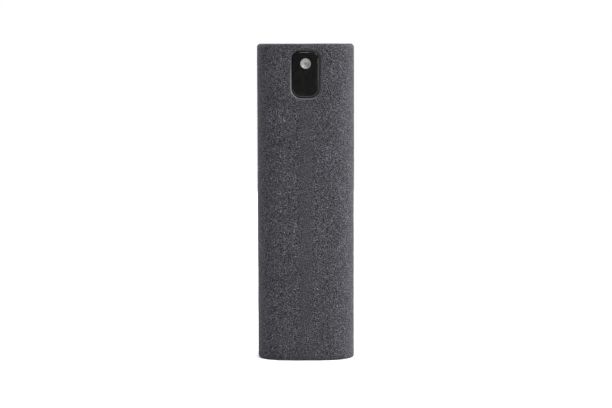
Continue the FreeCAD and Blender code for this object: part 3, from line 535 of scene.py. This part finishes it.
def finish_cad_nodes():
    black = plastic_material("button_black", (0.003, 0.003, 0.0032), 0.17, 0.1 * MM, 0.001 * MM, 0.04)
    black.node_tree.nodes["Principled BSDF"].inputs["Specular IOR Level"].default_value = 0.45
    paint(black, "button")
    nozzle = plastic_material("nozzle_grey", (0.175, 0.175, 0.175), 0.26, 0.08 * MM, 0.001 * MM)
    paint(nozzle, "nozzle_insert")
    paint(plastic_material("shell_plastic", (0.035, 0.035, 0.037), 0.5), "sleeve_shell")
    paint(plastic_material("head_plastic", (0.55, 0.55, 0.53), 0.5), "head_frame")
    paint(
        plastic_material("pump_plastic", (0.75, 0.75, 0.73), 0.35),
        "pump_cylinder",
        "inlet_valve_seat",
        "swirl_core",
        "channel_plug",
        "piston",
    )
    paint(rubber_material("seal_rubber", (0.02, 0.02, 0.02)), "cylinder_o_ring", "cylinder_gasket", "spigot_o_ring")
    paint(rubber_material("valve_rubber", (0.5, 0.5, 0.48)), "vent_ring", "outlet_valve", "piston_seal")
    paint(metal_material("ball_steel", (0.66, 0.66, 0.67), 0.12), "inlet_ball")
    paint(metal_material("screw_steel", (0.5, 0.5, 0.5), 0.35), "cylinder_screws")
    paint(clear_material("tube_plastic", (0.42, 0.44, 0.45), 0.4, 0.15), "dip_tube")
    paint(clear_material("bottle_plastic", (0.42, 0.47, 0.5), 0.4, 0.0), "bottle")
    paint(plastic_material("cap_plastic", (0.014, 0.014, 0.015), 0.42), "base_cap")


# ---- light, floor and camera ---------------------------------------------------------------------------------------------


def area_light(name, place, size, power, target=(0, 0, 0.06), colour=(1, 1, 1)):
    data = bpy.data.lights.new(name, "AREA")
    data.shape = "RECTANGLE"
    data.size, data.size_y = size
    data.energy = power
    data.color = colour
    light = bpy.data.objects.new(name, data)
    bpy.context.scene.collection.objects.link(light)
    light.location = place
    light.rotation_mode = "QUATERNION"
    light.rotation_quaternion = (Vector(target) - Vector(place)).to_track_quat("-Z", "Y")
    return light


def make_studio():
    world = bpy.data.worlds.new("studio")
    world.use_nodes = True
    bpy.context.scene.world = world
    tree = world.node_tree
    seen = tree.nodes.new("ShaderNodeBackground")
    seen.inputs["Color"].default_value = (1, 1, 1, 1)
    seen.inputs["Strength"].default_value = 1.0
    unseen = tree.nodes["Background"]
    unseen.inputs["Color"].default_value = (1, 1, 1, 1)
    unseen.inputs["Strength"].default_value = 0.1
    path = tree.nodes.new("ShaderNodeLightPath")
    blend = tree.nodes.new("ShaderNodeMixShader")
    tree.links.new(path.outputs["Is Camera Ray"], blend.inputs[0])
    tree.links.new(unseen.outputs[0], blend.inputs[1])
    tree.links.new(seen.outputs[0], blend.inputs[2])
    tree.links.new(blend.outputs[0], tree.nodes["World Output"].inputs["Surface"])

    area_light("overhead", (0.1, 0.4, 1.5), (2.4, 2.0), 62)
    area_light("key", (0.62, -0.36, 0.74), (0.35, 0.45), 6.6)
    area_light("side", (0.75, 0.1, 0.5), (0.3, 0.6), 4.8)
    area_light("strip_above", (0.0, -0.65, 0.72), (0.05, 0.5), 2.1, target=(0, 0, 0.113))
    area_light("strip_corner", (0.5, -0.62, 0.55), (0.08, 0.4), 1.4, target=(0, 0, 0.113))
    area_light("strip_right", (0.78, -0.58, 0.1), (0.5, 0.05), 1.7, target=(0, 0, 0.113))

    half = 0.8
    data = bpy.data.meshes.new("floor")
    data.from_pydata([(-half, -half, 0), (half, -half, 0), (half, half, 0), (-half, half, 0)], [], [(0, 1, 2, 3)])
    floor = bpy.data.objects.new("floor", data)
    bpy.context.scene.collection.objects.link(floor)
    g = Graph("floor_white")
    g.link(g.ramp(g.noise(0.3, 2.0), (0.3, 0.86), (0.7, 0.88)), "Base Color")
    g.set(Roughness=0.9)
    data.materials.append(g.material)


def make_camera():
    data = bpy.data.cameras.new("camera")
    data.sensor_width = 36
    data.lens = 102.9
    camera = bpy.data.objects.new("camera", data)
    bpy.context.scene.collection.objects.link(camera)
    camera.location = (0.0002, -0.700, 0.1255)
    pitch, roll = math.radians(5.203), math.radians(0.12)
    camera.rotation_euler = (math.pi / 2 - pitch, roll, 0)
    bpy.context.scene.camera = camera


# ---- the scene -----------------------------------------------------------------------------------------------------------

make_camera()
make_studio()
bpy.context.scene.view_settings.view_transform = "Standard"
finish_cad_nodes()
cover = make_cover()
# The second colour is the pale backing, painted as light on the lit side of the window's cut edge.
cover.data.materials.append(cloth_material("microfibre", (0.0262, 0.0257, 0.0296), (0.27, 0.265, 0.27)))
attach(cover, "sleeve")
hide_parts("microfibre_cover")

make_spring()
